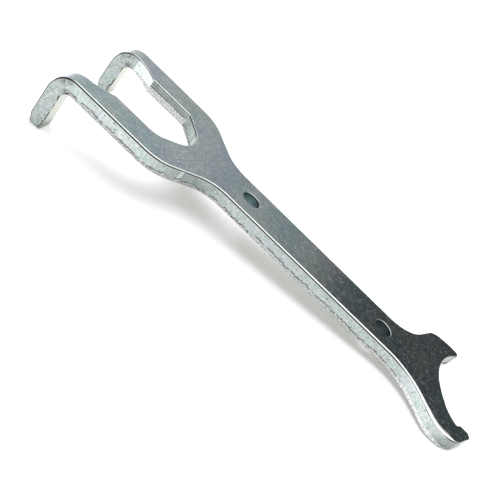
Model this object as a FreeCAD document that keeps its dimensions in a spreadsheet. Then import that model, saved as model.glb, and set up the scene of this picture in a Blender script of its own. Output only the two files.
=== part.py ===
import FreeCAD, Part
import math
import os
import Sketcher

# Double-ended spanner stamped from one piece of 5 mm steel plate.
# One end is a fork whose two arms are folded down into square pegs, the other a hook for slotted ring nuts.
# Units are millimetres. +X runs from the fork to the hook, +Y is the lug side and +Z is up.
# The origin is the centre of the hole nearest the fork, on the underside of the plate.

os.makedirs("parts", exist_ok=True)
doc = FreeCAD.newDocument("Spanner")

# ---------------------------------------------------------------- sizes
sheet = doc.addObject("Spreadsheet::Sheet", "Sizes")
SIZES = [
    # plate
    ("plate_thickness", 5.0),
    ("rolled_edge", 0.4),
    # fork arms and shank, upright half (the lower half mirrors it)
    ("arm_half_span", 24.4),
    ("fold_line_x", -59.3),
    ("arm_corner_x", -27.2),
    ("arm_corner_radius", 13.5),
    ("waist_x", -12.1),
    ("waist_half_width", 9.5),
    ("waist_radius", 13.8),
    # hexagon mouth between the arms
    ("mouth_half_width", 13.7),
    ("mouth_flat_start_x", -50.8),
    ("mouth_flat_end_x", -34.2),
    ("mouth_point_x", -21.6),
    ("mouth_point_radius", 11.0),
    ("flare_middle_x", -54.6),
    ("flare_middle_half", 16.4),
    ("flare_end_half", 17.9),
    # folded pegs
    ("fold_inner_radius", 2.4),
    ("peg_outer_x", -66.7),
    ("peg_drop", 15.2),
    ("peg_nose_run", 1.3),
    ("peg_nose_rise", 3.2),
    # how far the folded part runs back into the plate, and how far the mouth's cut runs past the pegs
    ("fold_overlap", 4.0),
    ("mouth_overrun", 5.0),
    # holes
    ("hole_radius", 3.25),
    ("hole_pitch", 59.4),
    # hook end, lug side
    ("lug_root_x", 69.6),
    ("lug_root_y", 9.2),
    ("lug_root_radius", 16.0),
    ("lug_back_x", 79.1),
    ("lug_back_y", 25.9),
    ("lug_back_radius", 8.0),
    ("lug_tip_x", 91.7),
    ("lug_tip_y", 27.2),
    ("lug_tip_radius", 2.0),
    # hook end, jaw
    ("jaw_centre_x", 110.9),
    ("jaw_centre_y", 6.8),
    ("jaw_radius", 26.3),
    # hook end, heel and claw
    ("claw_end_x", 99.9),
    ("claw_end_y", -14.0),
    ("claw_top_y", -11.8),
    ("claw_front_x", 99.2),
    ("claw_root_x", 94.1),
    ("claw_ramp_x", 104.0),
    ("claw_ramp_y", -7.2),
    ("claw_radius", 1.1),
    ("blank_edge_x", 93.5),
    ("heel_front_x", 94.4),
    ("heel_back_x", 85.8),
    ("heel_y", -22.7),
    ("heel_radius", 7.6),
    ("throat_x", 72.3),
    ("throat_y", -9.2),
    ("throat_radius", 22.0),
]
size = {}
for row, (alias, value) in enumerate(SIZES, start=1):
    sheet.set(f"A{row}", alias)
    sheet.set(f"B{row}", str(value))
    sheet.setAlias(f"B{row}", alias)
    size[alias] = value
doc.recompute()


# ---------------------------------------------------------------- helpers
def origin_plane(body, role):
    return next(f for f in body.Origin.OriginFeatures if f.Role == role)


def new_sketch(body, name, role):
    sketch = body.newObject("Sketcher::SketchObject", name)
    sketch.AttachmentSupport = [(origin_plane(body, role), "")]
    sketch.MapMode = "FlatFace"
    return sketch


def pin(sketch, geometry, point, axis, expression, value):
    """Hold one coordinate of a sketch point at a value of the sheet."""
    index = sketch.addConstraint(Sketcher.Constraint("Distance" + axis, -1, 1, geometry, point, value))
    sketch.setExpression(f"Constraints[{index}]", expression)


# A point whose X is 0 lies on a sketch's vertical axis, and one whose Y is 0 on its horizontal axis.
AXIS_LINE = {"X": -2, "Y": -1}


def polygon(sketch, corners):
    """Closed polygon. Each corner is a pair of (expression, value) for its two coordinates."""
    points = [FreeCAD.Vector(x[1], y[1], 0) for x, y in corners]
    first = sketch.GeometryCount
    count = len(points)
    for i in range(count):
        sketch.addGeometry(Part.LineSegment(points[i], points[(i + 1) % count]), False)
    for i in range(count):
        sketch.addConstraint(Sketcher.Constraint("Coincident", first + i, 2, first + (i + 1) % count, 1))
    for i, (x, y) in enumerate(corners):
        for axis, (expression, value) in (("X", x), ("Y", y)):
            if value == 0:
                rest = Sketcher.Constraint("PointOnObject", first + i, 1, AXIS_LINE[axis])
                sketch.addConstraint(rest)
            else:
                pin(sketch, first + i, 1, axis, expression, value)


def circle(sketch, x, y, radius):
    ring = Part.Circle(FreeCAD.Vector(x[1], y[1], 0), FreeCAD.Vector(0, 0, 1), radius[1])
    index = sketch.addGeometry(ring, False)
    for axis, (expression, value) in (("X", x), ("Y", y)):
        if value == 0:
            sketch.addConstraint(Sketcher.Constraint("PointOnObject", index, 3, AXIS_LINE[axis]))
        else:
            pin(sketch, index, 3, axis, expression, value)
    held = sketch.addConstraint(Sketcher.Constraint("Radius", index, radius[1]))
    sketch.setExpression(f"Constraints[{held}]", radius[0])


def at(alias, sign=1):
    """(expression, value) of a size, mirrored when sign is -1."""
    return (f"{'-' if sign < 0 else ''}Sizes.{alias}", sign * size[alias])


ORIGIN = ("0", 0)


def upright_edges(shape, corners):
    """Names of the straight edges along Z that stand at the given plan positions."""
    names = []
    for number, edge in enumerate(shape.Edges, start=1):
        a, b = edge.Vertexes[0].Point, edge.Vertexes[-1].Point
        if len(edge.Vertexes) == 2 and abs(a.x - b.x) + abs(a.y - b.y) < 1e-6 and abs(a.z - b.z) > 1:
            if any(abs(a.x - x) < 0.02 and abs(a.y - y) < 0.02 for x, y in corners):
                names.append(f"Edge{number}")
    return names


def round_edges(body, base, names, expression, label):
    doc.recompute()
    fillet = body.newObject("PartDesign::Fillet", label)
    fillet.Base = (base, names)
    fillet.Radius = size[expression.split(".")[1]]
    fillet.setExpression("Radius", expression)
    doc.recompute()
    base.Visibility = False
    return fillet


def round_corners(body, base, corners, alias, label):
    doc.recompute()
    names = upright_edges(base.Shape, [(x[1], y[1]) for x, y in corners])
    if len(names) != len(corners):
        raise RuntimeError(f"{label}: {len(names)} edges found for {len(corners)} corners")
    return round_edges(body, base, names, "Sizes." + alias, label)


body = doc.addObject("PartDesign::Body", "spanner_body")
body.Label = "spanner_body"
body.Placement = FreeCAD.Placement()

# ---------------------------------------------------------------- plate
# Outer shape from the fold line of the arms to the hook, with sharp corners that are rounded below.
outline = new_sketch(body, "plate_outline", "XY_Plane")
arm = [(at("arm_corner_x"), at("arm_half_span", s)) for s in (1, -1)]
waist = [(at("waist_x"), at("waist_half_width", s)) for s in (1, -1)]
lug_root = (at("lug_root_x"), at("lug_root_y"))
lug_back = (at("lug_back_x"), at("lug_back_y"))
lug_tip = (at("lug_tip_x"), at("lug_tip_y"))
heel_front = (at("heel_front_x"), at("heel_y"))
heel_back = (at("heel_back_x"), at("heel_y"))
throat = (at("throat_x"), at("throat_y"))
claw_front = (at("claw_front_x"), at("claw_top_y"))
claw_end = (at("claw_end_x"), at("claw_end_y"))
polygon(outline, [
    (at("fold_line_x"), at("arm_half_span")), arm[0], waist[0], lug_root, lug_back, lug_tip,
    (at("blank_edge_x"), at("claw_top_y")), claw_front, claw_end,
    heel_front, heel_back, throat, waist[1], arm[1], (at("fold_line_x"), at("arm_half_span", -1)),
])
plate = body.newObject("PartDesign::Pad", "plate")
plate.Profile = outline
plate.Length = size["plate_thickness"]
plate.setExpression("Length", "Sizes.plate_thickness")
doc.recompute()

solid = round_corners(body, plate, arm, "arm_corner_radius", "arm_corners")
solid = round_corners(body, solid, waist, "waist_radius", "waist_corners")
solid = round_corners(body, solid, [lug_root], "lug_root_radius", "lug_root_corner")
solid = round_corners(body, solid, [lug_back], "lug_back_radius", "lug_back_corner")
solid = round_corners(body, solid, [lug_tip], "lug_tip_radius", "lug_tip_corner")
solid = round_corners(body, solid, [heel_front, heel_back], "heel_radius", "heel_corners")
solid = round_corners(body, solid, [throat], "throat_radius", "throat_corner")

# ---------------------------------------------------------------- jaw and claw
# The jaw is cut back to a circle. Its cut leaves the claw standing along a straight ramp.
jaw_sketch = new_sketch(body, "jaw_outline", "XY_Plane")
centre = FreeCAD.Vector(size["jaw_centre_x"], size["jaw_centre_y"], 0)
radius = size["jaw_radius"]
root_x = size["claw_root_x"]
root_y = centre.y - math.sqrt(radius ** 2 - (root_x - centre.x) ** 2)
top = FreeCAD.Vector(centre.x, centre.y + radius, 0)
root = FreeCAD.Vector(root_x, root_y, 0)
ramp = FreeCAD.Vector(size["claw_ramp_x"], size["claw_ramp_y"], 0)
full = Part.Circle(centre, FreeCAD.Vector(0, 0, 1), radius)
root_angle = math.atan2(root.y - centre.y, root.x - centre.x) + 2 * math.pi
arc = jaw_sketch.addGeometry(Part.ArcOfCircle(full, math.pi / 2, root_angle), False)
slope = jaw_sketch.addGeometry(Part.LineSegment(root, ramp), False)
back = jaw_sketch.addGeometry(Part.LineSegment(ramp, top), False)
for first, end, second, start in ((arc, 2, slope, 1), (slope, 2, back, 1), (back, 2, arc, 1)):
    jaw_sketch.addConstraint(Sketcher.Constraint("Coincident", first, end, second, start))
pin(jaw_sketch, arc, 3, "X", "Sizes.jaw_centre_x", centre.x)
pin(jaw_sketch, arc, 3, "Y", "Sizes.jaw_centre_y", centre.y)
held = jaw_sketch.addConstraint(Sketcher.Constraint("Radius", arc, radius))
jaw_sketch.setExpression(f"Constraints[{held}]", "Sizes.jaw_radius")
pin(jaw_sketch, slope, 1, "X", "Sizes.claw_root_x", root.x)
pin(jaw_sketch, slope, 2, "X", "Sizes.claw_ramp_x", ramp.x)
pin(jaw_sketch, slope, 2, "Y", "Sizes.claw_ramp_y", ramp.y)
pin(jaw_sketch, back, 2, "X", "Sizes.jaw_centre_x", top.x)
jaw = body.newObject("PartDesign::Pocket", "jaw")
jaw.Profile = jaw_sketch
jaw.Type = 1
jaw.Midplane = True
doc.recompute()
claw_top_x = root.x + (size["claw_top_y"] - root.y) * (ramp.x - root.x) / (ramp.y - root.y)
claw_top = (("", claw_top_x), at("claw_top_y"))
solid = round_corners(body, jaw, [claw_top, claw_front, claw_end], "claw_radius", "claw_corners")

# ---------------------------------------------------------------- folded pegs
# Side view of the fold, drawn across both arms at once. The mouth then parts it into two pegs.
fold_sketch = new_sketch(body, "fold_outline", "XZ_Plane")
inner_x = ("Sizes.peg_outer_x + Sizes.plate_thickness", size["peg_outer_x"] + size["plate_thickness"])
nose_x = ("Sizes.peg_outer_x + Sizes.peg_nose_run", size["peg_outer_x"] + size["peg_nose_run"])
fold_root = ("Sizes.fold_line_x + Sizes.fold_overlap", size["fold_line_x"] + size["fold_overlap"])
polygon(fold_sketch, [
    (fold_root, at("plate_thickness")),
    (at("peg_outer_x"), at("plate_thickness")),
    (at("peg_outer_x"), ("Sizes.peg_nose_rise - Sizes.peg_drop", size["peg_nose_rise"] - size["peg_drop"])),
    (nose_x, at("peg_drop", -1)),
    (inner_x, at("peg_drop", -1)),
    (inner_x, ORIGIN),
    (fold_root, ORIGIN),
])
fold = body.newObject("PartDesign::Pad", "fold")
fold.Profile = fold_sketch
fold.Midplane = True
fold.Length = 2 * size["arm_half_span"]
fold.setExpression("Length", "2 * Sizes.arm_half_span")
doc.recompute()


def cross_edges(shape, x, z):
    """Names of the straight edges along Y that pass through (x, z)."""
    names = []
    for number, edge in enumerate(shape.Edges, start=1):
        if len(edge.Vertexes) == 2:
            a, b = edge.Vertexes[0].Point, edge.Vertexes[1].Point
            if abs(a.x - x) + abs(b.x - x) + abs(a.z - z) + abs(b.z - z) < 0.02 and abs(a.y - b.y) > 1:
                names.append(f"Edge{number}")
    return names


outer_fold = body.newObject("PartDesign::Fillet", "fold_outside")
outer_fold.Base = (fold, cross_edges(fold.Shape, size["peg_outer_x"], size["plate_thickness"]))
outer_fold.Radius = size["fold_inner_radius"] + size["plate_thickness"]
outer_fold.setExpression("Radius", "Sizes.fold_inner_radius + Sizes.plate_thickness")
doc.recompute()
inner_fold = body.newObject("PartDesign::Fillet", "fold_inside")
inner_fold.Base = (outer_fold, cross_edges(outer_fold.Shape, inner_x[1], 0))
inner_fold.Radius = size["fold_inner_radius"]
inner_fold.setExpression("Radius", "Sizes.fold_inner_radius")
doc.recompute()

# ---------------------------------------------------------------- mouth between the arms
mouth_sketch = new_sketch(body, "mouth_outline", "XY_Plane")
upper = [("mouth_flat_end_x", "mouth_half_width"), ("mouth_flat_start_x", "mouth_half_width"),
         ("flare_middle_x", "flare_middle_half"), ("fold_line_x", "flare_end_half")]
open_x = ("Sizes.peg_outer_x - Sizes.mouth_overrun", size["peg_outer_x"] - size["mouth_overrun"])
mouth_point = (at("mouth_point_x"), ORIGIN)
polygon(mouth_sketch, [mouth_point] + [(at(x), at(y)) for x, y in upper]
        + [(open_x, at("flare_end_half")), (open_x, at("flare_end_half", -1))]
        + [(at(x), at(y, -1)) for x, y in reversed(upper)])
mouth = body.newObject("PartDesign::Pocket", "mouth")
mouth.Profile = mouth_sketch
mouth.Type = 1
mouth.Midplane = True
doc.recompute()
solid = round_corners(body, mouth, [mouth_point], "mouth_point_radius", "mouth_point_corner")

# ---------------------------------------------------------------- holes
hole_sketch = new_sketch(body, "hole_circles", "XY_Plane")
circle(hole_sketch, ORIGIN, ORIGIN, at("hole_radius"))
circle(hole_sketch, at("hole_pitch"), ORIGIN, at("hole_radius"))
holes = body.newObject("PartDesign::Pocket", "holes")
holes.Profile = hole_sketch
holes.Type = 1
holes.Midplane = True
doc.recompute()


# ---------------------------------------------------------------- rolled top edges
def rim_edges(shape, level, start):
    """Edges of the flat top face, past the fold, without the fold line itself."""
    names = []
    for number, edge in enumerate(shape.Edges, start=1):
        box = edge.BoundBox
        if abs(box.ZMin - level) < 1e-4 and abs(box.ZMax - level) < 1e-4 and box.XMax > start + 0.02:
            names.append(f"Edge{number}")
    return names


rim = rim_edges(holes.Shape, size["plate_thickness"], size["peg_outer_x"] + size["plate_thickness"]
                + size["fold_inner_radius"])
rolled = round_edges(body, holes, rim, "Sizes.rolled_edge", "rolled_top_edges")
body.Tip = rolled
doc.recompute()

# ---------------------------------------------------------------- checks and export
for obj in doc.Objects:
    if "Invalid" in obj.State or "Error" in obj.State:
        raise RuntimeError(f"{obj.Name} did not build: {obj.State}")
shape = body.Shape
if not shape.isValid() or len(shape.Solids) != 1:
    raise RuntimeError("spanner_body is not one valid solid")
if shape.isInside(FreeCAD.Vector(size["mouth_flat_end_x"], 0, 2), 1e-3, True):
    raise RuntimeError("the mouth is not open")
if shape.isInside(FreeCAD.Vector(size["hole_pitch"], 0, 2), 1e-3, True):
    raise RuntimeError("the second hole is not open")
shape.exportStep("parts/spanner_body.step")
box = shape.optimalBoundingBox()
print("spanner_body", round(shape.Volume), "mm3", [round(v, 2) for v in (box.XMin, box.YMin, box.ZMin)],
      [round(v, 2) for v in (box.XMax, box.YMax, box.ZMax)])
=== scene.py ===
import math
import bpy
import numpy as np
from mathutils import Matrix, Vector, geometry


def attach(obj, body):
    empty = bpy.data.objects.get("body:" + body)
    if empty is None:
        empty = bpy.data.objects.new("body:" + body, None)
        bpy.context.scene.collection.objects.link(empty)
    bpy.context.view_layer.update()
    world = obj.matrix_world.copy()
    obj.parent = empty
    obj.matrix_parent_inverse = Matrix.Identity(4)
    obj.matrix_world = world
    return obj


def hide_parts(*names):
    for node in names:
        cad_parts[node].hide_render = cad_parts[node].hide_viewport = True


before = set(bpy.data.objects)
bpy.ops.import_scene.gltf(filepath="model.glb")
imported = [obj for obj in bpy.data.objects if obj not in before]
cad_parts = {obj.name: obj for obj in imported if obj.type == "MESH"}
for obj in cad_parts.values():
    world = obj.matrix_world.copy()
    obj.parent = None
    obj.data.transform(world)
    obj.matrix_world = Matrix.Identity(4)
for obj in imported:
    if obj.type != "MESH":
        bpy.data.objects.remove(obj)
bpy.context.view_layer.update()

# ------------------------------------------------------------------ the blank, as it leaves the die
# One flat piece of 5 mm steel strip, blanked in one stroke. The two fork arms are still straight.
# The outline is a loop of corners, each (x, y, corner radius) in millimetres, with the steel on its left.
PLATE = 5.0
FOLD_LINE = -59.3
FOLD_INSIDE = 2.4
NEUTRAL = FOLD_INSIDE + 0.45 * PLATE
FOLD_ANGLE = math.radians(91.7)
FOLD_SKEW = 0.85
PEG_DROP = 14.9
FOLD_RUN = NEUTRAL * FOLD_ANGLE
ARM_END = FOLD_LINE - FOLD_RUN - (PEG_DROP - FOLD_INSIDE)
ARM_OUT, ARM_IN, WAIST = 24.4, 17.9, 9.5
JAW_CENTRE, JAW_RADIUS = (110.9, 6.8), 26.3
# Half the hexagon's width, and how much closer in its flat stands on the -Y arm.
FLAT, FLAT_SHIFT = 13.7, 0.25
MOUTH_ARM = [(ARM_END, ARM_IN, 0.7), (FOLD_LINE, ARM_IN, 9.0), (-54.6, 16.4, 5.0), (-50.8, FLAT, 1.2),
             (-34.2, FLAT, 0.8)]
CORNERS = (
    [(ARM_END, -ARM_OUT, 0.9), (-27.2, -ARM_OUT, 13.5), (-12.1, -WAIST, 13.8), (72.3, -9.2, 22.0),
     (85.8, -22.7, 7.6), (94.4, -22.7, 7.6), (99.9, -14.0, 1.1), (99.2, -11.8, 1.1), (95.46, -11.8, 1.1),
     (94.1, -13.45, 0.8), "jaw", (91.8, 25.0, 1.2), (91.7, 27.2, 1.4), (86.3, 27.3, 14.0),
     (79.4, 26.0, 7.6), (69.6, 9.2, 16.0), (-12.1, WAIST, 13.8), (-27.2, ARM_OUT, 13.5),
     (ARM_END, ARM_OUT, 0.9)]
    + MOUTH_ARM + [(-21.6, 0.0, 11.0), (-34.2, FLAT_SHIFT - FLAT, 7.0)]
    + [(x, FLAT_SHIFT * (y == FLAT) - y, radius) for x, y, radius in MOUTH_ARM[-2::-1]]
)
HOLES = [(0.0, 0.0, 3.25), (59.4, 0.0, 3.25)]
STEP = 0.4
HOLE_POINTS = 72
# Painted light: how much brighter the bore on the fork's side is painted than the other one.
FORK_BORE_PAINTED_LIGHT = 1.75


def along_jaw(start, end):
    """Points of the jaw's circle, from the claw round to the lug, clear of the corners at its ends."""
    cx, cy = JAW_CENTRE
    a, b = (math.atan2(p[1] - cy, p[0] - cx) % (2 * math.pi) for p in (start, end))
    count = int(abs(a - b) * JAW_RADIUS / STEP)
    return [(cx + JAW_RADIUS * math.cos(a + (b - a) * k / count),
             cy + JAW_RADIUS * math.sin(a + (b - a) * k / count), 0) for k in range(4, count - 3)]


def outline_points():
    """The outline as points about STEP apart, its corners rounded by arcs that meet both sides."""
    at = CORNERS.index("jaw")
    loop = CORNERS[:at] + along_jaw(CORNERS[at - 1], CORNERS[at + 1]) + CORNERS[at + 1:]
    corners = [Vector(c[:2]) for c in loop]
    points = []
    for k, (x, y, radius) in enumerate(loop):
        here, before, after = corners[k], corners[k - 1], corners[(k + 1) % len(loop)]
        if radius == 0:
            points.append(here)
            continue
        back, on = (before - here).normalized(), (after - here).normalized()
        half = back.angle(on) / 2
        reach = radius / math.tan(half)
        centre = here + (back + on).normalized() * (radius / math.sin(half))
        start, end = here + back * reach, here + on * reach
        turn = math.pi - 2 * half
        count = max(3, math.ceil(turn * radius / STEP), math.ceil(turn / 0.2))
        sign = 1 if (start - centre).cross(end - centre) > 0 else -1
        for n in range(count + 1):
            spoke = Matrix.Rotation(sign * turn * n / count, 2) @ (start - centre)
            points.append(centre + spoke)
    filled = []
    for k, p in enumerate(points):
        nxt = points[(k + 1) % len(points)]
        count = max(1, round((nxt - p).length / STEP))
        filled += [p.lerp(nxt, n / count) for n in range(count)]
    return np.array(filled)


def hole_points(x, y, radius):
    """A hole's rim, run clockwise so that the steel is on its left."""
    turns = -2 * np.pi * np.arange(HOLE_POINTS) / HOLE_POINTS
    return np.stack([x + radius * np.cos(turns), y + radius * np.sin(turns)], 1)


def outward(loop):
    """Unit vectors that point out of the steel at each point of a loop."""
    run = np.roll(loop, -1, 0) - np.roll(loop, 1, 0)
    side = np.stack([run[:, 1], -run[:, 0]], 1)
    return side / np.linalg.norm(side, axis=1)[:, None]


def smooth(value, low, high):
    t = np.clip((value - low) / (high - low), 0, 1)
    return t * t * (3 - 2 * t)


def roll_size(loop, is_hole):
    """Width and depth of the rolled top edge, where the die drew the steel down before it cut."""
    x, y = loop[:, 0], loop[:, 1]
    if is_hole:
        return np.full(len(x), 0.26), np.full(len(x), 0.30)
    near = smooth(-y, 2, 6) * (np.abs(y) > ARM_IN + 0.5) + smooth(-y, 2, 6) * (x > -20)
    width = 0.40 + (0.02 + 0.26 * smooth(x, -5, 55)) * near
    depth = 0.42 + 0.14 * near + 0.06 * smooth(x, 0, 50) * near
    heel = smooth(x, 70, 91) * (1 - smooth(x, 91, 96)) * smooth(-y, 7, 9)
    width += 1.25 * heel
    depth -= 0.12 * heel
    slight = smooth(x, 90, 95) + (1 - smooth(x, FOLD_LINE - 6, FOLD_LINE + 1))
    slight += (np.abs(y) < ARM_IN + 0.5) * (1 - smooth(x, -23, -21)) * (x < -20)
    slight = np.clip(slight, 0, 1)
    width += (0.34 - width) * slight
    depth += (0.42 - depth) * slight
    return width, depth


def finish_and_light_of(loop, is_hole):
    """How the cut wall looks along a loop: the brightness of its clean part and of its torn part, which is
    partly the plating's tone and partly painted light and shade, how far down the clean part reaches, and
    whether it is the inside of a hole."""
    x, y = loop[:, 0], loop[:, 1]
    if is_hole:
        one = np.ones(len(x))
        hook_side = x[0] > HOLES[1][0] / 2
        clean_light_and_tone = 1.0 if hook_side else FORK_BORE_PAINTED_LIGHT
        return {"clean_light_and_tone": clean_light_and_tone * one, "torn_light_and_tone": one, "clean": 0.3 * one, "bore": one}
    # Each is a place along X, the brightness of the clean part there and that of the torn part. They were
    # set one by one, and also hold some of what the studio's light does along the wall.
    knots = [(-100, 0.86, 0.90), (FOLD_LINE - 4, 0.88, 0.95), (FOLD_LINE + 3, 1.06, 1.0), (-34, 1.02, 0.98),
             (-27, 0.84, 0.88), (-20, 0.55, 0.68), (-13, 0.60, 0.78), (-6, 0.82, 0.92), (5, 0.84, 0.98),
             (55, 0.83, 1.02), (66, 0.86, 1.15), (71, 0.92, 1.35), (76, 1.06, 1.7), (82, 1.16, 1.9),
             (87, 0.92, 1.85), (91, 0.64, 1.35), (95, 0.50, 0.95), (101, 0.50, 0.9)]
    at_x, clean_light_and_tone, torn_light_and_tone = (np.array(v) for v in zip(*knots))
    clean_light_and_tone, torn_light_and_tone = np.interp(x, at_x, clean_light_and_tone), np.interp(x, at_x, torn_light_and_tone)
    in_mouth = (np.abs(y) < ARM_IN + 0.3) & (x < -20) & (x > FOLD_LINE)
    flat = in_mouth & (x > -50.6) & (x < -34.3)
    jog = in_mouth & (x <= -50.6)
    jaw = np.hypot(x - JAW_CENTRE[0], y - JAW_CENTRE[1]) < JAW_RADIUS + 0.5
    # Painted light and shade: the mouth's walls, the dark upper and bright lower strips of its far flat, its
    # bright jog and the dark jaw
    clean_light_and_tone, torn_light_and_tone = np.where(in_mouth, 0.92, clean_light_and_tone), np.where(in_mouth, 0.95, torn_light_and_tone)
    # are set to the brightness that the studio's reflections give them there.
    clean_light_and_tone, torn_light_and_tone = np.where(flat, 0.60, clean_light_and_tone), np.where(flat, 1.3, torn_light_and_tone)
    clean_light_and_tone, torn_light_and_tone = np.where(jog, 1.48, clean_light_and_tone), np.where(jog, 1.45, torn_light_and_tone)
    clean_light_and_tone, torn_light_and_tone = np.where(jaw, 0.50, clean_light_and_tone), np.where(jaw, 0.50, torn_light_and_tone)
    clean = 0.22 * (1 - smooth(x, FOLD_LINE - 3, FOLD_LINE + 4)) - 0.26 * flat
    return {"clean_light_and_tone": clean_light_and_tone, "torn_light_and_tone": torn_light_and_tone, "clean": clean, "bore": np.zeros(len(x))}


ROLL_ROWS, WALL_ROWS = 7, 18
# A ring on the flat face keeps the roll crisp, and the burr is the little bevel on the lower edge.
HOLDING_RING, BURR = 0.12, 0.16
# The row inside the burr's bevel, and the ring on the underside that holds it crisp.
BURR_STEP, LOWER_RING = 0.05, 0.30
loops = [outline_points()] + [hole_points(*h) for h in HOLES]
verts, faces, out_at, tops, bottoms, uv_rows = [], [], [], [], [], []
marks = {title: [] for title in ("run", "fall", "wall", "roll", "clean_light_and_tone", "torn_light_and_tone", "clean", "bore")}


def add_wall(loop, is_hole):
    """The rolled edge, the cut wall and the burr of one loop, as rows from the top to the underside."""
    out = outward(loop)
    width, depth = roll_size(loop, is_hole)
    finish_and_light = finish_and_light_of(loop, is_hole)
    length = np.r_[0, np.cumsum(np.linalg.norm(np.roll(loop, -1, 0) - loop, axis=1))]
    rows = [(width + HOLDING_RING, np.full(len(loop), PLATE), 0, 0)]
    for k in range(ROLL_ROWS + 1):
        a = math.pi / 2 * k / ROLL_ROWS
        rows.append((width * (1 - math.sin(a)), PLATE - depth * (1 - math.cos(a)), 0, k / ROLL_ROWS))
    for k in range(1, WALL_ROWS + 1):
        z = (PLATE - depth) + (BURR - (PLATE - depth)) * k / WALL_ROWS
        rows.append((np.zeros(len(loop)), z, 1, 1))
    rows.append((np.full(len(loop), BURR_STEP), np.full(len(loop), BURR_STEP), 1, 1))
    rows.append((np.full(len(loop), BURR), np.zeros(len(loop)), 0, 0))
    rows.append((np.full(len(loop), LOWER_RING), np.zeros(len(loop)), 0, 0))
    first = len(verts)
    n = len(loop)
    for inset, z, wall, roll in rows:
        ring = loop - out * inset[:, None]
        verts.extend(np.c_[ring, z].tolist())
        place = {"run": length[:-1], "fall": 1 - z / PLATE, "wall": [wall] * n, "roll": [roll] * n}
        for title, values in {**place, **finish_and_light}.items():
            marks[title].extend(values)
        out_at.extend(np.c_[out, np.zeros(n)].tolist())
    for r in range(len(rows) - 1):
        for k in range(n):
            m = (k + 1) % n
            a, b = first + r * n, first + (r + 1) * n
            faces.append((a + k, b + k, b + m, a + m))
            top, low = rows[r][1], rows[r + 1][1]
            here, on = length[k], length[k + 1]
            uv_rows.append([(here, top[k]), (here, low[k]), (on, low[m]), (on, top[m])])
    tops.append(list(range(first, first + n)))
    bottoms.append(list(range(first + (len(rows) - 1) * n, first + len(rows) * n)))


def inside(points, loop):
    """Which points lie inside a loop, by the number of its sides that a line from each one crosses."""
    x, y = points[:, 0][:, None], points[:, 1][:, None]
    a, b = loop, np.roll(loop, -1, 0)
    crosses = (a[:, 1] > y) != (b[:, 1] > y)
    rise = np.where(b[:, 1] == a[:, 1], 1e-9, b[:, 1] - a[:, 1])
    at_x = a[:, 0] + (y - a[:, 1]) / rise * (b[:, 0] - a[:, 0])
    return (crosses & (x < at_x)).sum(1) % 2 == 1


def add_face(rings, upward):
    """Fills the top face or the underside between its rings, with a grid of points for the fold."""
    edge = np.array([verts[i][:2] for ring in rings for i in ring])
    z = verts[rings[0][0]][2]
    fine, coarse = np.arange(ARM_END + 0.6, FOLD_LINE + 1, 0.6), np.arange(FOLD_LINE + 1, 100, 1.3)
    grid = np.array([(x, y) for x in np.r_[fine, coarse] for y in np.arange(-24, 27, 1.1)])
    keep = inside(grid, np.array([verts[i][:2] for i in rings[0]]))
    for ring in rings[1:]:
        keep &= ~inside(grid, np.array([verts[i][:2] for i in ring]))
    grid = grid[keep]
    near = np.array([np.min(np.hypot(*(edge - p).T)) for p in grid])
    grid = grid[near > 0.5]
    points = [Vector(p) for p in np.r_[edge, grid]]
    edges, count = [], 0
    for ring in rings:
        edges += [(count + k, count + (k + 1) % len(ring)) for k in range(len(ring))]
        count += len(ring)
    done, _, tris, _, _, _ = geometry.delaunay_2d_cdt(points, edges, [], 0, 1e-6)
    if len(done) != len(points):
        raise RuntimeError("the face's points were merged")
    flat = [i for ring in rings for i in ring]
    first = len(verts)
    for p in grid:
        verts.append([p[0], p[1], z])
        for title, value in (("run", 0), ("fall", 0 if upward else 1), ("wall", 0), ("roll", 0), ("clean_light_and_tone", 1),
                             ("torn_light_and_tone", 1), ("clean", 0), ("bore", 0)):
            marks[title].append(value)
        out_at.append((0, 0, 0))
    place = np.array([done[i][:] for t in tris for i in t]).reshape(-1, 3, 2)
    mid = place.mean(1)
    good = inside(mid, np.array([verts[i][:2] for i in rings[0]]))
    for ring in rings[1:]:
        good &= ~inside(mid, np.array([verts[i][:2] for i in ring]))

    def vertex_of(point):
        return flat[point] if point < len(flat) else first + point - len(flat)

    for t, ok, p in zip(tris, good, place):
        if not ok:
            continue
        area = np.cross(p[1] - p[0], p[2] - p[0])
        ring = [vertex_of(i) for i in (t if (area > 0) == upward else t[::-1])]
        faces.append(tuple(ring))
        uv_rows.append([(verts[i][0], verts[i][1]) for i in ring])


for number, loop in enumerate(loops):
    add_wall(loop, number > 0)
add_face(tops, True)
add_face(bottoms, False)

blank = bpy.data.meshes.new("blank")
blank.from_pydata(verts, [], faces)
blank.validate()
for title, values in marks.items():
    layer = blank.attributes.new(title, "FLOAT", "POINT")
    layer.data.foreach_set("value", np.array(values, dtype=np.float32))
layer = blank.attributes.new("outward", "FLOAT_VECTOR", "POINT")
layer.data.foreach_set("vector", np.array(out_at, dtype=np.float32).ravel())
uv = blank.uv_layers.new(name="along_edge")
uv.data.foreach_set("uv", (np.array([p for row in uv_rows for p in row], dtype=np.float32) / 10).ravel())
blank.polygons.foreach_set("use_smooth", [True] * len(blank.polygons))
spanner = bpy.data.objects.new("spanner_blank", blank)
bpy.context.scene.collection.objects.link(spanner)


# ------------------------------------------------------------------ the sheared edge
# A die cuts only the upper part of the wall clean. Below it the steel tears off along a wavy line,
# and the torn part is dull, rough and leans inwards a little.
def new_socket(tree, title, kind, value=None, way="INPUT"):
    socket = tree.interface.new_socket(title, in_out=way, socket_type="NodeSocket" + kind)
    if value is not None:
        socket.default_value = value
    return socket


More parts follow.
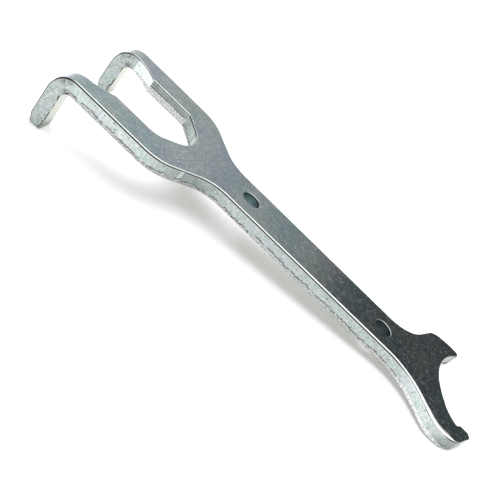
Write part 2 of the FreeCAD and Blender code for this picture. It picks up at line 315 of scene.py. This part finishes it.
def node(tree, kind, inputs=(), **settings):
    """A node with its settings, its inputs linked or set, by position or name."""
    made = tree.nodes.new(kind)
    for key, value in settings.items():
        setattr(made, key, value)
    for key, value in dict(inputs).items():
        if isinstance(value, bpy.types.NodeSocket):
            tree.links.new(value, made.inputs[key])
        else:
            made.inputs[key].default_value = value
    return made


def maths(tree, operation, *values, clamp=False):
    settings = {"operation": operation, "use_clamp": clamp}
    return node(tree, "ShaderNodeMath", enumerate(values), **settings).outputs[0]


def chain(tree, operation, *values):
    """One operation over several values, from left to right."""
    total = values[0]
    for value in values[1:]:
        total = maths(tree, operation, total, value)
    return total


def combine(tree, x, y, z=0.0):
    return node(tree, "ShaderNodeCombineXYZ", {0: x, 1: y, 2: z}).outputs[0]


def step_up(tree, value, low, high):
    """0 at low and 1 at high, smooth between, whichever of the two is larger."""
    made = node(tree, "ShaderNodeMapRange", {0: value, 1: low, 2: high, 3: 0.0, 4: 1.0},
                interpolation_type="SMOOTHSTEP")
    return made.outputs[0]


def named(tree, title, kind="FLOAT"):
    made = node(tree, "GeometryNodeInputNamedAttribute", {0: title}, data_type=kind)
    return made.outputs[0]


shear = bpy.data.node_groups.new("sheared_edge", "GeometryNodeTree")
new_socket(shear, "Blank", "Geometry")
TEAR_INPUTS = [("Clean share", 0.74), ("Wave", 0.22), ("Scallop length", 2.0), ("Lean", 0.30),
               ("Break depth", 0.09), ("Roughness", 0.10), ("Drag marks", 0.012), ("Seed", 4.0)]
for title, value in TEAR_INPUTS:
    new_socket(shear, title, "Float", value)
new_socket(shear, "Finish", "Material")
new_socket(shear, "Blank", "Geometry", way="OUTPUT")
given = node(shear, "NodeGroupInput").outputs
run, fall, wall = (named(shear, t) for t in ("run", "fall", "wall"))
side = named(shear, "outward", "FLOAT_VECTOR")


def noise(tree, vector, scale, detail=2.0, rough=0.5, seed=0.0):
    return node(tree, "ShaderNodeTexNoise", {"Vector": vector, "W": seed, "Scale": scale, "Detail": detail,
                                              "Roughness": rough}, noise_dimensions="4D").outputs[0]


spread = maths(shear, "DIVIDE", run, given["Scallop length"])
line_at = combine(shear, spread, 0.0)
slow = maths(shear, "SUBTRACT", noise(shear, line_at, 0.35, 1.0, 0.5, given["Seed"]), 0.5)
quick = maths(shear, "SUBTRACT", noise(shear, line_at, 1.6, 3.0, 0.6, given["Seed"]), 0.5)
wave = chain(shear, "MULTIPLY", maths(shear, "ADD", slow, quick), given["Wave"], 2.0)
# where the torn part's painted light is brightest, its edge is straight
wave = maths(shear, "MULTIPLY", wave, step_up(shear, named(shear, "torn_light_and_tone"), 1.28, 1.12))
tear = chain(shear, "ADD", given["Clean share"], wave, named(shear, "clean"))
past = maths(shear, "SUBTRACT", fall, tear)
torn = step_up(shear, past, -0.015, 0.05)
patch = combine(shear, run, maths(shear, "MULTIPLY", fall, PLATE))
grit = maths(shear, "SUBTRACT", noise(shear, patch, 0.9, 4.0, 0.65, given["Seed"]), 0.5)
drag_at = combine(shear, run, maths(shear, "MULTIPLY", fall, 0.4), 3.0)
drag = maths(shear, "SUBTRACT", noise(shear, drag_at, 1.4, 3.0, 0.7, given["Seed"]), 0.5)
lean = chain(shear, "MULTIPLY", maths(shear, "MAXIMUM", past, 0.0), given["Lean"], -1.0)
drop = chain(shear, "MULTIPLY", torn, given["Break depth"], -1.0)
rub = chain(shear, "MULTIPLY", torn, grit, given["Roughness"], 2.0)
comb = chain(shear, "MULTIPLY", drag, given["Drag marks"], 2.0)
total = maths(shear, "MULTIPLY", chain(shear, "ADD", lean, drop, rub, comb), wall)
shift = node(shear, "ShaderNodeVectorMath", {0: side, "Scale": total}, operation="SCALE").outputs[0]
moved = node(shear, "GeometryNodeSetPosition", {"Geometry": given["Blank"], "Offset": shift}).outputs[0]
tear_mark = {"Geometry": moved, "Name": "tear", "Value": tear}
kept = node(shear, "GeometryNodeStoreNamedAttribute", tear_mark).outputs[0]
plain = node(shear, "GeometryNodeRealizeInstances", {"Geometry": kept}).outputs[0]
finish = node(shear, "GeometryNodeSetMaterial", {"Geometry": plain, "Material": given["Finish"]}).outputs[0]
node(shear, "NodeGroupOutput", {"Blank": finish})

# ------------------------------------------------------------------ zinc plate
# Bright zinc over the whole tool, put on in a bath after stamping and folding. It is satin on the faces,
# streaked on the clean part of the cut wall, and duller where the steel tore. Its colour also holds painted
# light:
# a painted highlight and a painted dark reflection band along the rolled edge, painted light and shade along
# the wall, and painted shade in the bores, at the peg tips and on the peg walls.
COOL, PALE = (0.445, 0.58, 0.605, 1), (0.565, 0.66, 0.66, 1)
VIOLET, GREEN = (0.50, 0.545, 0.66, 1), (0.50, 0.62, 0.54, 1)
BLOOM, SPARKLE, SHADE = (0.68, 0.71, 0.71, 1), (0.86, 0.92, 0.92, 1), (0.34, 0.38, 0.41, 1)
CREAM, PEG_TIP_SHADE = (0.44, 0.465, 0.365, 1), (0.17, 0.185, 0.15, 1)
WALL_GREEN, WALL_GREY = (0.40, 0.485, 0.43, 1), (0.455, 0.515, 0.505, 1)
STREAK_PALE, STREAK_DARK, GLINT = (0.68, 0.73, 0.71, 1), (0.25, 0.31, 0.29, 1), (0.80, 0.84, 0.82, 1)
TORN_DARK, TORN_PALE, TEAR_LINE = (0.34, 0.35, 0.33, 1), (0.56, 0.58, 0.57, 1), (0.07, 0.065, 0.055, 1)
POCK, PEG_WALL_SHADE, CRACK = (0.11, 0.11, 0.09, 1), (0.12, 0.125, 0.11, 1), (0.06, 0.06, 0.05, 1)
BORE_TEAL_AND_SHADE, DENT = (0.12, 0.18, 0.185), (0.08, 0.08, 0.08, 1)
ROLL_HIGHLIGHT, ROLL_DARK_REFLECTION = (0.90, 0.93, 0.90, 1), (0.045, 0.045, 0.04, 1)
zinc = bpy.data.materials.new("zinc_plate")
zinc.use_nodes = True
zt = zinc.node_tree
zt.nodes.clear()


def shade_attr(tree, title):
    return node(tree, "ShaderNodeAttribute", attribute_name=title, attribute_type="GEOMETRY").outputs["Fac"]


def mix(tree, factor, a, b):
    made = node(tree, "ShaderNodeMix", data_type="RGBA")
    for key, value in ((0, factor), (6, a), (7, b)):
        if isinstance(value, bpy.types.NodeSocket):
            tree.links.new(value, made.inputs[key])
        else:
            made.inputs[key].default_value = value
    return made.outputs[2]


obj_at = node(zt, "ShaderNodeTexCoord").outputs["Object"]
edge_at = node(zt, "ShaderNodeUVMap", uv_map="along_edge").outputs[0]
s_fall, s_wall, s_tear = (shade_attr(zt, t) for t in ("fall", "wall", "tear"))

clean_light_and_tone, torn_light_and_tone, bore, bend = (shade_attr(zt, t) for t in ("clean_light_and_tone", "torn_light_and_tone", "bore", "bend"))
edge_parts = node(zt, "ShaderNodeSeparateXYZ", {0: edge_at}).outputs


def amount(*values):
    """The product of several masks."""
    return chain(zt, "MULTIPLY", *values)


def scaled(colour, factor):
    return node(zt, "ShaderNodeVectorMath", {0: colour, "Scale": factor}, operation="SCALE").outputs[0]


def less(value):
    return maths(zt, "SUBTRACT", 1.0, value)


grain = noise(zt, obj_at, 1500.0, 2.0, 0.6, 1.0)
mottle = noise(zt, obj_at, 420.0, 4.0, 0.7, 2.0)
cloud = noise(zt, obj_at, 60.0, 3.0, 0.55, 3.0)
tint = noise(zt, obj_at, 95.0, 2.0, 0.5, 4.0)
streak_at = combine(zt, edge_parts[0], amount(edge_parts[1], 0.25))
streak = noise(zt, streak_at, 14.0, 3.0, 0.7, 5.0)
blotch = noise(zt, edge_at, 3.2, 3.0, 0.6, 6.0)
pit = noise(zt, edge_at, 17.0, 3.0, 0.6, 7.0)
pock = noise(zt, edge_at, 9.0, 2.0, 0.7, 8.0)
breaks = noise(zt, edge_at, 4.5, 2.0, 0.6, 9.0)

# faces: satin blue-grey with faint clouds of blue, green and violet from the passivating bath
face_tone = mix(zt, step_up(zt, cloud, 0.43, 0.57), COOL, PALE)
face_tone = mix(zt, amount(step_up(zt, tint, 0.53, 0.62), 0.5), face_tone, VIOLET)
face_tone = mix(zt, amount(step_up(zt, tint, 0.46, 0.37), 0.5), face_tone, GREEN)
face_tone = mix(zt, amount(step_up(zt, mottle, 0.50, 0.60), 0.35), face_tone, BLOOM)
face_tone = mix(zt, amount(step_up(zt, grain, 0.57, 0.65), 0.4), face_tone, SPARKLE)
face_tone = mix(zt, amount(step_up(zt, grain, 0.44, 0.36), 0.45), face_tone, SHADE)
under = step_up(zt, s_fall, 0.97, 0.995)
# painted shade: the lowest two millimetres of the pegs, next to the floor, are darkened
tip_shade = step_up(zt, node(zt, "ShaderNodeSeparateXYZ", {0: obj_at}).outputs[2], -0.0118, -0.0140)
face_tone = mix(zt, amount(under, 0.85), face_tone, CREAM)
face_tone = mix(zt, amount(tip_shade, 0.75), face_tone, PEG_TIP_SHADE)

# clean part of the wall: upright drag marks, a little green
clean_tone = mix(zt, step_up(zt, blotch, 0.43, 0.57), WALL_GREEN, WALL_GREY)
clean_tone = mix(zt, amount(step_up(zt, streak, 0.51, 0.61), 0.42), clean_tone, STREAK_PALE)
clean_tone = mix(zt, amount(step_up(zt, streak, 0.47, 0.37), 0.42), clean_tone, STREAK_DARK)
clean_tone = mix(zt, amount(step_up(zt, grain, 0.55, 0.64), 0.4), clean_tone, GLINT)
# painted light and shade: the clean part's colour is scaled by the brightness set along the loop
clean_tone = scaled(clean_tone, clean_light_and_tone)

# torn part: dull, with a dark line along its edge
jag = amount(maths(zt, "SUBTRACT", pit, 0.5), 0.12)
past_tear = maths(zt, "ADD", maths(zt, "SUBTRACT", s_fall, s_tear), jag)
torn_part = amount(step_up(zt, past_tear, -0.01, 0.03), s_wall)
torn_tone = mix(zt, step_up(zt, pit, 0.44, 0.56), TORN_DARK, TORN_PALE)
# painted light and shade: the torn part's colour is scaled by its brightness set along the loop
wall_tone = mix(zt, torn_part, clean_tone, scaled(torn_tone, torn_light_and_tone))
line = amount(step_up(zt, past_tear, -0.05, -0.015), less(step_up(zt, past_tear, 0.03, 0.075)),
              step_up(zt, breaks, 0.42, 0.49), less(step_up(zt, torn_light_and_tone, 1.2, 1.6)))
wall_tone = mix(zt, amount(line, 0.9), wall_tone, TEAR_LINE)
pocks = amount(step_up(zt, pock, 0.62, 0.66), less(bore))
wall_tone = mix(zt, amount(pocks, 0.8), wall_tone, POCK)
# patchy painted shade on the walls of the folds and pegs
peg_wall_shade = amount(step_up(zt, shade_attr(zt, "clean"), 0.05, 0.2), less(step_up(zt, pit, 0.42, 0.49)))
wall_tone = mix(zt, amount(peg_wall_shade, 0.38), wall_tone, PEG_WALL_SHADE)
# painted shade: the bores' walls are painted dark, with a teal tint, and the fork's bore is painted brighter
wall_tone = mix(zt, bore, wall_tone, scaled(BORE_TEAL_AND_SHADE, clean_light_and_tone))

# folds: the skin crazes on the outside of the bend and closes up on the inside
craze = amount(bend, less(step_up(zt, s_fall, 0.26, 0.46)), step_up(zt, streak, 0.46, 0.51))
pinch = amount(bend, step_up(zt, s_fall, 0.56, 0.80), step_up(zt, pit, 0.43, 0.50))
wall_tone = mix(zt, amount(maths(zt, "MAXIMUM", craze, pinch), 0.85), wall_tone, CRACK)
tone = mix(zt, s_wall, face_tone, wall_tone)

# the rolled edge is painted near white, a painted highlight, with a painted dark reflection band at its foot,
# and has small dents from use
s_roll = shade_attr(zt, "roll")
rolled = amount(step_up(zt, s_roll, 0.05, 0.20), less(s_wall), less(under))
tone = mix(zt, amount(rolled, less(amount(bore, 0.6))), tone, ROLL_HIGHLIGHT)
# painted reflection: a dark band at the foot of the rolled edge, left out where the torn part's painted light
# is brightest
dark_reflection_band = amount(rolled, step_up(zt, s_roll, 0.60, 0.72), less(step_up(zt, torn_light_and_tone, 1.2, 1.6)))
tone = mix(zt, amount(dark_reflection_band, 0.97), tone, ROLL_DARK_REFLECTION)
nick = noise(zt, combine(zt, edge_parts[0], 0.0), 7.0, 2.0, 0.6, 10.0)
dent = amount(rolled, step_up(zt, nick, 0.62, 0.65))
tone = mix(zt, amount(dent, 0.8), tone, DENT)

satin, sparks = step_up(zt, grain, 0.50, 0.64), step_up(zt, grain, 0.68, 0.73)
face_rough = chain(zt, "ADD", 0.14, amount(mottle, 0.12), amount(satin, 0.06), amount(sparks, 0.06))
wall_rough = chain(zt, "ADD", 0.12, amount(streak, 0.22), amount(torn_part, 0.22), amount(bore, 0.3))
roughness = node(zt, "ShaderNodeMix", {0: s_wall, 2: face_rough, 3: wall_rough}, data_type="FLOAT").outputs[0]
relief_face = maths(zt, "ADD", amount(mottle, 0.30), amount(grain, 0.22))
relief_wall = chain(zt, "ADD", amount(streak, 0.5), amount(pit, 0.9), amount(pocks, -1.2))
relief = node(zt, "ShaderNodeMix", {0: s_wall, 2: relief_face, 3: relief_wall}, data_type="FLOAT").outputs[0]
bump = node(zt, "ShaderNodeBump", {"Height": maths(zt, "SUBTRACT", relief, dent), "Strength": 0.4,
                                   "Distance": 0.00006}).outputs[0]
shader = node(zt, "ShaderNodeBsdfPrincipled", {"Base Color": tone, "Roughness": roughness, "Metallic": 1.0,
                                               "Normal": bump})
node(zt, "ShaderNodeOutputMaterial", {"Surface": shader.outputs[0]})

press = spanner.modifiers.new("sheared_edge", "NODES")
press.node_group = shear
sockets = {s.name: s.identifier for s in shear.interface.items_tree if s.in_out == "INPUT"}
press[sockets["Finish"]] = zinc
spanner.update_tag()
bpy.context.view_layer.update()
cut = bpy.data.meshes.new_from_object(spanner.evaluated_get(bpy.context.evaluated_depsgraph_get()),
                                      preserve_all_data_layers=True,
                                      depsgraph=bpy.context.evaluated_depsgraph_get())
spanner.modifiers.clear()

# ------------------------------------------------------------------ the fold
# Both arms are folded down a little past square, over one edge that stands slightly skewed, which makes
# the two pegs. The inside of the fold is squeezed outwards. The tips are chamfered on the outside.
CHAMFER_RUN, CHAMFER_FALL = 3.2, 1.3
at = np.empty(len(cut.vertices) * 3, dtype=np.float32)
cut.vertices.foreach_get("co", at)
at = at.reshape(-1, 3).astype(float)
fold_at = FOLD_LINE - FOLD_SKEW * at[:, 1] / ARM_OUT
past_line = np.maximum(fold_at - at[:, 0], 0)
to_tip = at[:, 0] - ARM_END
nose = np.clip(1 - to_tip / CHAMFER_RUN, 0, 1)
at[:, 2] *= 1 - nose * CHAMFER_FALL / PLATE
turn = np.minimum(past_line / NEUTRAL, FOLD_ANGLE)
beyond = np.maximum(past_line - FOLD_RUN, 0)
reach = FOLD_INSIDE + at[:, 2]
squeeze = np.sin(np.pi * np.clip(past_line / FOLD_RUN, 0, 1)) ** 2
at[:, 1] *= 1 + squeeze * 0.012 * (0.5 - at[:, 2] / PLATE)
fold_share = np.clip(past_line / FOLD_RUN / 0.75, 0, 1)
layer = cut.attributes.new("bend", "FLOAT", "POINT")
layer.data.foreach_set("value", (np.sin(np.pi * fold_share) ** 2).astype(np.float32))
new_x = fold_at - reach * np.sin(turn) - beyond * np.cos(turn)
new_z = -FOLD_INSIDE + reach * np.cos(turn) - beyond * np.sin(turn)
folded = at[:, 0] < fold_at
at[:, 0] = np.where(folded, new_x, at[:, 0])
at[:, 2] = np.where(folded, new_z, at[:, 2])
cut.vertices.foreach_set("co", (at * 0.001).astype(np.float32).ravel())
cut.update()
cut.name = "spanner"
old = spanner.data
spanner.data = cut
spanner.name = "spanner"
bpy.data.meshes.remove(old)
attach(spanner, "root")
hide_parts("spanner_body")

# ------------------------------------------------------------------ floor, lights and camera
# The floor runs through the lowest corner of the peg tips and the underside near the hook's end. The last
# 8 mm of the hook reach up to 0.8 mm below it.
lowest = at[at[:, 2].argmin()] * 0.001
tips, heel = Vector((lowest[0], 0, lowest[2])), Vector((0.092, 0, 0.0))
tilt = math.atan2(heel.z - tips.z, heel.x - tips.x)
floor_mesh = bpy.data.meshes.new("floor")
reach_m = 40.0
level = Matrix.Translation(tips) @ Matrix.Rotation(-tilt, 4, "Y")
corners = [(-reach_m, -reach_m), (reach_m, -reach_m), (reach_m, reach_m), (-reach_m, reach_m)]
floor_mesh.from_pydata([level @ Vector((x, y, -0.00005)) for x, y in corners], [], [(0, 1, 2, 3)])
floor = bpy.data.objects.new("floor", floor_mesh)
bpy.context.scene.collection.objects.link(floor)
paper = bpy.data.materials.new("white_paper")
paper.use_nodes = True
paper_shader = paper.node_tree.nodes["Principled BSDF"]
paper_shader.inputs["Base Color"].default_value = (0.870, 0.858, 0.890, 1)
paper_shader.inputs["Roughness"].default_value = 0.9
paper_shader.inputs["Specular IOR Level"].default_value = 0.0
paper_shader.inputs["Emission Color"].default_value = (1, 1, 1, 1)
paper_shader.inputs["Emission Strength"].default_value = 0.30
floor_mesh.materials.append(paper)

world = bpy.data.worlds.new("studio")
bpy.context.scene.world = world
world.use_nodes = True
sky = world.node_tree
sky.nodes.clear()
toward = node(sky, "ShaderNodeTexCoord").outputs["Generated"]


def lobe(direction, low, high, strength):
    """A soft patch of light round a direction. It starts where the cosine passes low and is full at high."""
    facing = node(sky, "ShaderNodeVectorMath", {0: toward, 1: Vector(direction).normalized()},
                  operation="DOT_PRODUCT").outputs["Value"]
    return maths(sky, "MULTIPLY", step_up(sky, facing, low, high), strength)


ROOM = 0.024
ceiling = lobe((0.0, 0.12, 1), 0.61, 0.95, 3.0)
parts = node(sky, "ShaderNodeSeparateXYZ", {0: toward}).outputs
card = maths(sky, "SUBTRACT", 0.33, maths(sky, "MULTIPLY", parts[0], 0.70), clamp=True)
card = maths(sky, "MULTIPLY", card, step_up(sky, maths(sky, "MULTIPLY", parts[0], -1.0), -0.21, -0.10))
card = maths(sky, "MULTIPLY", card, step_up(sky, parts[1], 0.30, 0.60))
end_card = maths(sky, "MULTIPLY", step_up(sky, parts[0], 0.48, 0.62), 0.28)
rear_card = maths(sky, "MULTIPLY", step_up(sky, parts[1], -0.25, -0.50), step_up(sky, parts[2], 0.34, 0.58))
cards = chain(sky, "ADD", card, end_card, maths(sky, "MULTIPLY", rear_card, 0.20))
# The ceiling's reflection in the metal is set fainter than the light that it gives to the floor.
# Past the edge of the floor the camera sees plain white.
ray = node(sky, "ShaderNodeLightPath").outputs
fainter = maths(sky, "SUBTRACT", 1.0, maths(sky, "MULTIPLY", ray["Is Glossy Ray"], 0.5))
ceiling = maths(sky, "MULTIPLY", ceiling, fainter)
light = chain(sky, "ADD", ceiling, cards, ROOM)
light = node(sky, "ShaderNodeMix", {0: ray["Is Camera Ray"], 2: light, 3: 1.0}, data_type="FLOAT").outputs[0]
back = node(sky, "ShaderNodeBackground", {"Color": (1, 1, 1, 1), "Strength": light}).outputs[0]
node(sky, "ShaderNodeOutputWorld", {"Surface": back})

# The camera stands about 0.23 m from the shank on its -Y side, above it, and is rolled to one side.
lens = bpy.data.cameras.new("camera")
lens.sensor_width = 36.0
lens.lens = 51.70
camera = bpy.data.objects.new("camera", lens)
camera.location = (-0.002647, -0.20631, 0.105512)
camera.rotation_euler = [math.radians(angle) for angle in (51.6824, -38.8295, 22.7686)]
lens.shift_x = 0.00318
lens.shift_y = -0.00166
lens.clip_start = 0.01
bpy.context.scene.collection.objects.link(camera)
bpy.context.scene.camera = camera
bpy.context.scene.view_settings.view_transform = "Standard"
